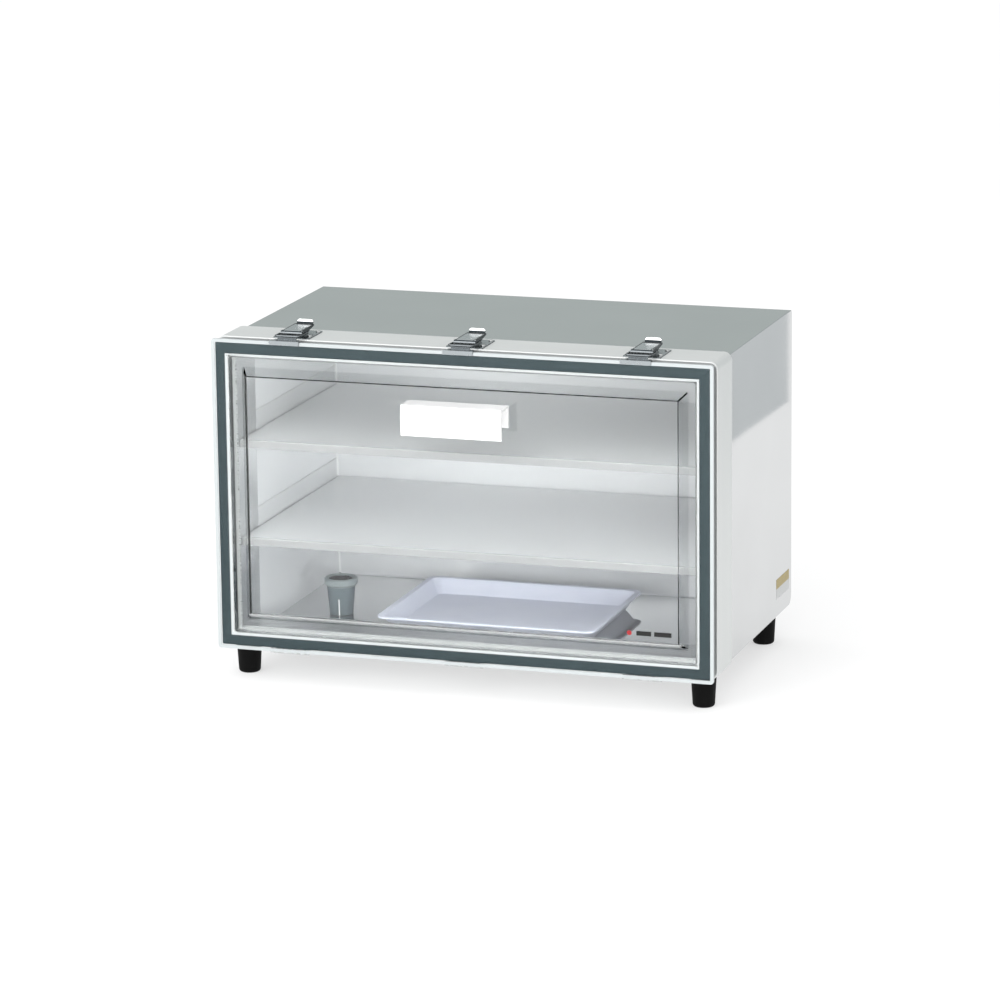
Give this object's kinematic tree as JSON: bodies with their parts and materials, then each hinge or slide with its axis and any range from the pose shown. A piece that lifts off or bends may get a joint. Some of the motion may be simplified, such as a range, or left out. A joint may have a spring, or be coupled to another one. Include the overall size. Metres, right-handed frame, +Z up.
{
  "type": "desiccator cabinet",
  "caption": "Polished steel drying cabinet on rubber feet, with a clear drop-down door held by toggle latches, shelves, a tray and a granule cup.",
  "frame": {"origin": "on the table, under the middle of the outline box (door handle to back panel, side to side)", "axes": "+X to the right along the door, +Y from the door to the back, +Z up; the door faces -Y"},
  "size_m": [0.5, 0.328, 0.3491],
  "materials": {
    "frame_steel": "polished stainless sheet",
    "body_steel": "polished stainless sheet",
    "top_steel": "polished stainless sheet, seen reflecting a dark ceiling",
    "liner_steel": "polished stainless sheet",
    "shelf_steel": "polished stainless sheet",
    "latch_steel": "bright pressed stainless",
    "hinge_steel": "bright stainless",
    "fastener_steel": "bright stainless",
    "clear_plastic": "clear formed sheet",
    "gasket_rubber": "smooth dark grey-green",
    "handle_plastic": "white, satin",
    "badge_red": "printed",
    "badge_black": "printed",
    "foot_rubber": "moulded black",
    "tray_plastic": "translucent pale blue",
    "cup_plastic": "moulded grey",
    "drying_granules": "dark granules",
    "label_paper": "printed sticker"
  },
  "bodies": {
    "cabinet": {"back_liner": "liner_steel", "back_panel": "body_steel", "bottom_panel": "body_steel", "centre_hinge_body_leaf": "hinge_steel", "centre_latch_base": "latch_steel", "centre_latch_rivets": "latch_steel", "foot_nuts": "fastener_steel", "foot_screws": "fastener_steel", "frame_bottom_rail": "frame_steel", "frame_left_rail": "frame_steel", "frame_right_rail": "frame_steel", "frame_top_rail": "frame_steel", "front_left_foot": "foot_rubber", "front_right_foot": "foot_rubber", "hinge_pins": "hinge_steel", "hinge_screws": "fastener_steel", "latch_screws": "fastener_steel", "left_hinge_body_leaf": "hinge_steel", "left_latch_base": "latch_steel", "left_latch_rivets": "latch_steel", "left_liner": "liner_steel", "left_side_panel": "body_steel", "lower_left_shelf_rail": "shelf_steel", "lower_right_shelf_rail": "shelf_steel", "rating_label": "label_paper", "rear_left_foot": "foot_rubber", "rear_right_foot": "foot_rubber", "right_hinge_body_leaf": "hinge_steel", "right_latch_base": "latch_steel", "right_latch_rivets": "latch_steel", "right_liner": "liner_steel", "right_side_panel": "body_steel", "top_panel": "top_steel", "upper_left_shelf_rail": "shelf_steel", "upper_right_shelf_rail": "shelf_steel"},
    "door": {"badge_bars": "badge_black", "badge_dot": "badge_red", "centre_hinge_door_leaf": "hinge_steel", "centre_latch_keeper": "latch_steel", "door_gasket": "gasket_rubber", "door_handle": "handle_plastic", "door_panel": "clear_plastic", "handle_screws": "fastener_steel", "left_hinge_door_leaf": "hinge_steel", "left_latch_keeper": "latch_steel", "right_hinge_door_leaf": "hinge_steel", "right_latch_keeper": "latch_steel"},
    "centre_bail": {"centre_latch_bail": "latch_steel"},
    "centre_lever": {"centre_latch_lever": "latch_steel"},
    "cup": {"cup_granules": "drying_granules", "cup_grid": "cup_plastic", "granule_cup": "cup_plastic"},
    "tray": {"drying_tray": "tray_plastic"},
    "left_bail": {"left_latch_bail": "latch_steel"},
    "left_lever": {"left_latch_lever": "latch_steel"},
    "lower_shelf": {"lower_shelf": "shelf_steel"},
    "right_bail": {"right_latch_bail": "latch_steel"},
    "right_lever": {"right_latch_lever": "latch_steel"},
    "upper_shelf": {"upper_shelf": "shelf_steel"}
  },
  "joints": [
    {"name": "door_hinge", "type": "hinge", "parent": "cabinet", "child": "door", "pos_m": [0, -0.13, 0.029], "axis": [1, 0, 0], "range_deg": [0, 88]},
    {"name": "left_latch", "type": "hinge", "parent": "cabinet", "child": "left_lever", "pos_m": [-0.175, -0.1175, 0.3422], "axis": [1, 0, 0], "range_deg": [0, 130]},
    {"name": "left_bail_swing", "type": "hinge", "parent": "left_lever", "child": "left_bail", "pos_m": [-0.175, -0.1065, 0.3412], "axis": [-1, 0, 0], "range_deg": [0, 150]},
    {"name": "centre_latch", "type": "hinge", "parent": "cabinet", "child": "centre_lever", "pos_m": [0, -0.1175, 0.3422], "axis": [1, 0, 0], "range_deg": [0, 130]},
    {"name": "centre_bail_swing", "type": "hinge", "parent": "centre_lever", "child": "centre_bail", "pos_m": [0, -0.1065, 0.3412], "axis": [-1, 0, 0], "range_deg": [0, 150]},
    {"name": "right_latch", "type": "hinge", "parent": "cabinet", "child": "right_lever", "pos_m": [0.175, -0.1175, 0.3422], "axis": [1, 0, 0], "range_deg": [0, 130]},
    {"name": "right_bail_swing", "type": "hinge", "parent": "right_lever", "child": "right_bail", "pos_m": [0.175, -0.1065, 0.3412], "axis": [-1, 0, 0], "range_deg": [0, 150]},
    {"name": "lower_shelf_lift", "type": "slide", "parent": "cabinet", "child": "lower_shelf", "axis": [0, 0, 1], "range_m": [0, 0.06]},
    {"name": "upper_shelf_lift", "type": "slide", "parent": "cabinet", "child": "upper_shelf", "axis": [0, 0, 1], "range_m": [0, 0.06]},
    {"name": "tray_lift", "type": "slide", "parent": "cabinet", "child": "tray", "axis": [0, 0, 1], "range_m": [0, 0.07]},
    {"name": "cup_lift", "type": "slide", "parent": "cabinet", "child": "cup", "axis": [0, 0, 1], "range_m": [0, 0.05]}
  ],
  "couplings": [
    {"joint": "left_bail_swing", "follows": "left_latch", "ratio": 1.15},
    {"joint": "centre_bail_swing", "follows": "centre_latch", "ratio": 1.15},
    {"joint": "right_bail_swing", "follows": "right_latch", "ratio": 1.15}
  ]
}
